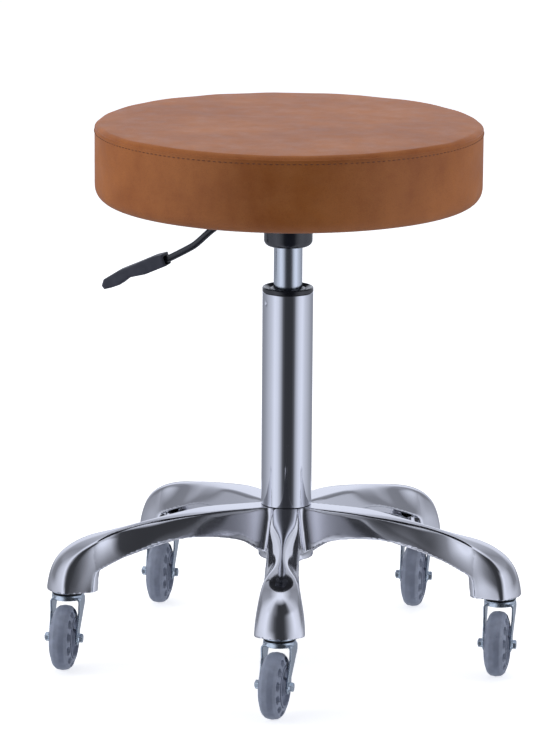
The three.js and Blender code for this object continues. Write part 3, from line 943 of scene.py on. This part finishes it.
def seat_profile():
    """(radius, height) rings of the cover, from the edge of its top panel down to its hem."""
    hem_height = SEAT_BOTTOM + 0.4
    rings = []
    for a in np.radians((70, 50, 28, 8)):
        reach = SIDE_RADIUS - 6.6 + SHOULDER * math.cos(a)
        rings.append((reach, SEAT_TOP - 6.9 + SHOULDER * math.sin(a)))
    rings += [(SIDE_RADIUS, SEAM_HEIGHT + gap) for gap in (1.4, 0, -1.4)]
    for height in np.linspace(SEAM_HEIGHT - 6, SEAT_BOTTOM + LOWER_CORNER + 1, 9):
        rings.append((SIDE_RADIUS, height))
    for a in np.radians((15, 35, 55, 75, 90)):
        reach = SIDE_RADIUS - LOWER_CORNER + LOWER_CORNER * math.cos(a)
        rings.append((reach, hem_height + LOWER_CORNER * (1 - math.sin(a))))
    return rings + [(radius, hem_height) for radius in (171, 165, 158, HEM_RADIUS)]


def seat_mesh():
    """The cover as one sheet of even quads: a round top panel and rings down its side."""
    count = PANEL_STEPS
    side = count + 1
    x, y = disc_grid(SEAT_RADIUS - 5.8, count)
    crown = SEAT_TOP - 1.6 - PANEL_DOME * ((x * x + y * y) / (SEAT_RADIUS - 1.2) ** 2)
    points = np.stack([x.ravel(), y.ravel(), crown.ravel()], 1).tolist()
    faces = [
        (i * side + j, (i + 1) * side + j, (i + 1) * side + j + 1, i * side + j + 1)
        for i in range(count) for j in range(count)]
    rim = [i * side for i in range(count)] + [count * side + j for j in range(count)]
    rim += [i * side + count for i in range(count, 0, -1)] + [j for j in range(count, 0, -1)]
    angles = [math.atan2(points[k][1], points[k][0]) for k in rim]
    last = rim
    for radius, height in seat_profile():
        start = len(points)
        points += [(radius * math.cos(a), radius * math.sin(a), height) for a in angles]
        ring = list(range(start, start + len(rim)))
        for k in range(len(rim)):
            n = (k + 1) % len(rim)
            faces.append((last[k], last[n], ring[n], ring[k]))
        if height == SEAM_HEIGHT:
            seam = ring
        last = ring
    return np.array(points), faces, seam


def stretch_cover(cover, firm):
    """Presses the cover out from its foam with a short cloth simulation, and keeps its even part."""
    rest = np.array([v.co for v in cover.data.vertices])
    outward = np.array([v.normal for v in cover.data.vertices])
    edges = np.array([edge.vertices for edge in cover.data.edges])
    group = cover.vertex_groups.new(name="held")
    for index, hold in enumerate(firm):
        if hold > 0:
            group.add([index], float(hold), "REPLACE")
    cloth = cover.modifiers.new("cloth", "CLOTH")
    for name, value in CLOTH.items():
        setattr(cloth.settings, name, value)
    cloth.settings.vertex_group_mass = group.name
    cloth.settings.effector_weights.gravity = 0
    cloth.collision_settings.use_collision = False
    cloth.point_cache.frame_start = 1
    cloth.point_cache.frame_end = CLOTH_FRAMES
    for step in range(1, CLOTH_FRAMES + 1):
        bpy.context.scene.frame_set(step)
    apply_modifiers(cover)
    bpy.context.scene.frame_set(1)
    moved = np.array([v.co for v in cover.data.vertices])
    rise = np.sum((moved - rest) * outward, axis=1)
    most = SWELL * MM
    rise = most * np.tanh(np.clip(rise, 0, None) / most)
    held = np.array(firm) > 0
    for _ in range(SMOOTHING_PASSES):
        total, count = np.zeros(len(rise)), np.zeros(len(rise))
        for a, b in (edges.T, edges.T[::-1]):
            np.add.at(total, a, rise[b])
            np.add.at(count, a, 1)
        rise = np.where(held, rise, 0.5 * rise + 0.5 * total / count)
    moved = rest + outward * rise[:, None]
    cover.data.vertices.foreach_set("co", moved.ravel())
    cover.data.update()


def make_seat():
    points, faces, seam = seat_mesh()
    cover = add_piece("leather_cover", on_axis(points), faces, "tan_leather", "seat",
                      ["seat_cover"], sharp=0)
    firm = np.where(points[:, 2] < SEAT_BOTTOM + 1.5, 1.0, 0.0)
    firm[seam] = 0.9
    stretch_cover(cover, firm)
    group = cover.vertex_groups.new(name="seam")
    group.add(seam, 1.0, "REPLACE")
    finer = cover.modifiers.new("finer", "SUBSURF")
    finer.levels = finer.render_levels = 1
    apply_modifiers(cover)
    sink_seam(cover)
    hem = cover.modifiers.new("thickness", "SOLIDIFY")
    hem.thickness = 1.6 * MM
    hem.offset = -1
    apply_modifiers(cover)
    cover.data.shade_smooth()
    dress(cover, "tan_leather", "seat")
    # The photograph shows no leather colour in the polished arms, so mirror images leave the seat out.
    stitches = make_stitches(cover)
    for hidden in (cover, stitches, frame["nodes"]["seat_foam"], frame["nodes"]["seat_board"]):
        hidden.visible_glossy = False


def sink_seam(cover):
    """Pulls the seam's line of points inwards, which leaves a fine valley between the panels."""
    group = cover.vertex_groups["seam"].index
    centre = Vector((AXIS[0] * MM, AXIS[1] * MM, 0))
    for vertex in cover.data.vertices:
        weight = sum(g.weight for g in vertex.groups if g.group == group)
        if weight > 0.9:
            out = vertex.co - centre
            out.z = 0
            vertex.co -= out.normalized() * SEAM_DEPTH * MM


def make_stitches(cover):
    """Short threads round the side panel, just under the seam."""
    tree = BVHTree.FromObject(cover, bpy.context.evaluated_depsgraph_get())
    count, length, thread_radius = 217, 3.3, 0.42
    sides, steps = 8, 6
    points, faces = [], []
    for k in range(count):
        centre_angle = 2 * math.pi * (k + 0.5) / count
        start = len(points)
        for s in range(steps + 1):
            part = s / steps * 2 - 1
            angle = centre_angle + part * length / 2 / SEAT_RADIUS
            out = np.array((math.cos(angle), math.sin(angle), 0))
            origin = Vector((*(AXIS * MM + out[:2] * 0.3), STITCH_HEIGHT * MM))
            hit = tree.ray_cast(origin, Vector(-out))[0]
            reach = math.hypot(hit.x / MM - AXIS[0], hit.y / MM - AXIS[1])
            size = thread_radius * math.sqrt(max(0.03, 1 - part**6))
            rise = 0.30 * (1 - part**4) - 0.08
            for q in range(sides):
                turn = 2 * math.pi * q / sides
                at = out * (reach + rise + size * math.cos(turn))
                points.append((AXIS[0] + at[0], AXIS[1] + at[1], STITCH_HEIGHT + size * math.sin(turn)))
        ends = [list(range(sides)), [steps * sides + q for q in reversed(range(sides))]]
        faces += [[start + q for q in face] for face in grid_faces(steps + 1, sides) + ends]
    return add_piece("seat_stitches", points, faces, "thread", "seat", sharp=0)


# ---------- carried-over parts


def dress_cad_nodes():
    """Gives each CAD node that still shows the material of its slot, and breaks its sharp edges."""
    for part in frame["record"]["subparts"]:
        node = frame["nodes"][part["node"]]
        if node.hide_render:
            continue
        node.data.materials.clear()
        node.data.materials.append(FINISHES[part["material_slot"]])
        edges = node.modifiers.new("broken edges", "BEVEL")
        edges.width = 0.25 * MM
        edges.segments = 2
        edges.limit_method = "ANGLE"
        edges.angle_limit = math.radians(50)


# ---------- studio


def make_camera():
    """A long lens that looks down a little, turned slightly from the front arm."""
    elevation, azimuth, roll = 0.2186, 0.0236, 0.008
    distance = 4.4124
    aim = Vector((0, AXIS[1] * MM, 0.300))
    back = Vector((
        math.sin(azimuth) * math.cos(elevation), -math.cos(azimuth) * math.cos(elevation),
        math.sin(elevation)))
    camera = new_object("camera", bpy.data.cameras.new("camera"))
    camera.location = aim + back * distance
    turn = (-back).to_track_quat("-Z", "Y").to_matrix().to_4x4()
    camera.rotation_mode = "QUATERNION"
    camera.rotation_quaternion = (turn @ Matrix.Rotation(roll, 4, "Z")).to_quaternion()
    camera.data.sensor_width = 36
    camera.data.lens = 219.54
    camera.data.shift_x = -0.0249
    camera.data.shift_y = -0.0216
    camera.data.clip_end = 100
    bpy.context.scene.camera = camera


def add_surround(name, color, glow, points, faces):
    """A studio surface that glows white by itself and isn't mirrored in the stool."""
    finish, shader = new_finish(f"studio_{name}", color, 0.9)
    shader.inputs["Emission Color"].default_value = (1, 1, 1, 1)
    shader.inputs["Emission Strength"].default_value = glow
    mesh = bpy.data.meshes.new(name)
    mesh.from_pydata(points, [], faces)
    mesh.materials.append(finish)
    surround = new_object(name, mesh)
    surround.visible_glossy = False
    surround.visible_diffuse = False
    return surround


def make_floor():
    """A floor bright enough to read as white, with soft shadows under the castors."""
    half, height = 14, -0.0002
    corners = [(x * half, y * half, height) for x, y in ((-1, -1), (1, -1), (1, 1), (-1, 1))]
    add_surround("floor", (0.9, 0.9, 0.9), 0.62, corners, [(0, 1, 2, 3)])


def make_backdrop():
    """A white round wall that only the camera sees, so that low views have no horizon."""
    radius, sides = 13, 96
    around = np.linspace(0, 2 * math.pi, sides, endpoint=False)
    points = [(radius * math.cos(a), radius * math.sin(a), z) for z in (-0.1, 40) for a in around]
    wall = add_surround("backdrop", (0, 0, 0), 1.0, points, grid_faces(2, sides))
    wall.visible_shadow = False


STUDIO_TINT = (0.94, 0.99, 1.13)


def make_world():
    """Soft light from both sides, above and behind, and a dark studio in front."""
    world = bpy.data.worlds.new("studio")
    bpy.context.scene.world = world
    world.use_nodes = True
    direction = add_node(world, "TexCoord").outputs["Generated"]
    x, y, z = add_node(world, "SeparateXYZ", Vector=direction).outputs
    azimuth = calculate(world, "ARCTAN2", x, calculate(world, "MULTIPLY", y, -1.0))
    turn = calculate(world, "DIVIDE", calculate(world, "DEGREES", azimuth), 360.0)
    elevation = calculate(world, "DEGREES", calculate(world, "ARCSINE", z))

    def ring(stops):
        """Brightness round the horizon, as (degrees of azimuth, level) stops."""
        share = calculate(world, "ADD", turn, 0.5)
        colors = add_node(world, "ValToRGB", Fac=share)
        elements = colors.color_ramp.elements
        while len(elements) < len(stops):
            elements.new(0.5)
        for element, (degrees, level) in zip(elements, stops):
            element.position = degrees / 360 + 0.5
            element.color = (*(level * channel for channel in STUDIO_TINT), 1)
        return colors.outputs[0]

    def above(low, high, under, over):
        """One colour below an elevation and another above it, with a soft edge between."""
        return blend_colors(world, remap(world, elevation, low, high), under, over)

    floor_level = ring([
        (-180, 0.47), (-141, 0.29), (-115, 0.39), (-76, 0.68), (-58, 0.90), (-42, 0.80), (-29, 0.50),
        (-18, 0.11), (-9, 0.047), (7, 0.042), (23, 0.047), (32, 0.11), (43, 0.50), (56, 0.80),
        (72, 0.90), (90, 0.68), (129, 0.39), (155, 0.29), (180, 0.47)])
    eye_level = ring([
        (-180, 0.88), (-150, 0.75), (-122, 0.26), (-100, 0.24), (-80, 0.70), (-58, 0.95), (-46, 0.50),
        (-37, 0.26), (-26, 0.10), (-14, 0.05), (7, 0.042), (22, 0.05), (30, 0.13), (38, 0.27), (48, 0.55),
        (60, 0.95), (80, 0.70), (100, 0.24), (122, 0.26), (150, 0.75), (180, 0.88)])
    upper = ring([
        (-180, 0.60), (-129, 0.30), (-96, 0.38), (-70, 0.85), (-52, 0.75), (-38, 0.28), (-20, 0.12),
        (-10, 0.05), (7, 0.042), (42, 0.05), (50, 0.18), (58, 0.60), (72, 0.70), (96, 0.36), (129, 0.30),
        (180, 0.60)])
    ceiling = ring([(-180, 0.95), (180, 0.95)])
    color = above(-5, 3, floor_level, eye_level)
    color = above(26, 34, color, upper)
    color = above(60, 82, color, ceiling)
    feed(world.node_tree.nodes["Background"].inputs["Color"], color)


def add_panel(name, place, aim, size, watts, color=(1, 1, 1)):
    """A soft light that faces a point."""
    light = bpy.data.lights.new(name, "AREA")
    light.shape = "RECTANGLE"
    light.size, light.size_y = size
    light.energy = watts
    light.color = color
    panel = new_object(name, light)
    panel.location = place
    panel.rotation_mode = "QUATERNION"
    panel.rotation_quaternion = (Vector(aim) - Vector(place)).to_track_quat("-Z", "Y")
    panel.visible_glossy = False


def make_lights():
    aim = (0, 0.03, 0.35)
    add_panel("left_panel", (-2.5, -0.45, 1.0), aim, (1.2, 1.6), 21)
    add_panel("right_panel", (2.5, -0.45, 1.0), aim, (1.2, 1.6), 14)
    add_panel("top_panel", (0, 1.2, 2.6), aim, (1.6, 1.6), 15.5, (1.0, 0.96, 0.86))


# ---------- whole scene


def main():
    bpy.context.scene.view_settings.view_transform = "Standard"
    make_camera()
    make_finishes()
    make_base()
    make_column()
    make_bush()
    make_lift()
    make_collar()
    make_lever()
    make_castors()
    make_seat()
    dress_cad_nodes()
    make_floor()
    make_backdrop()
    make_world()
    make_lights()


main()
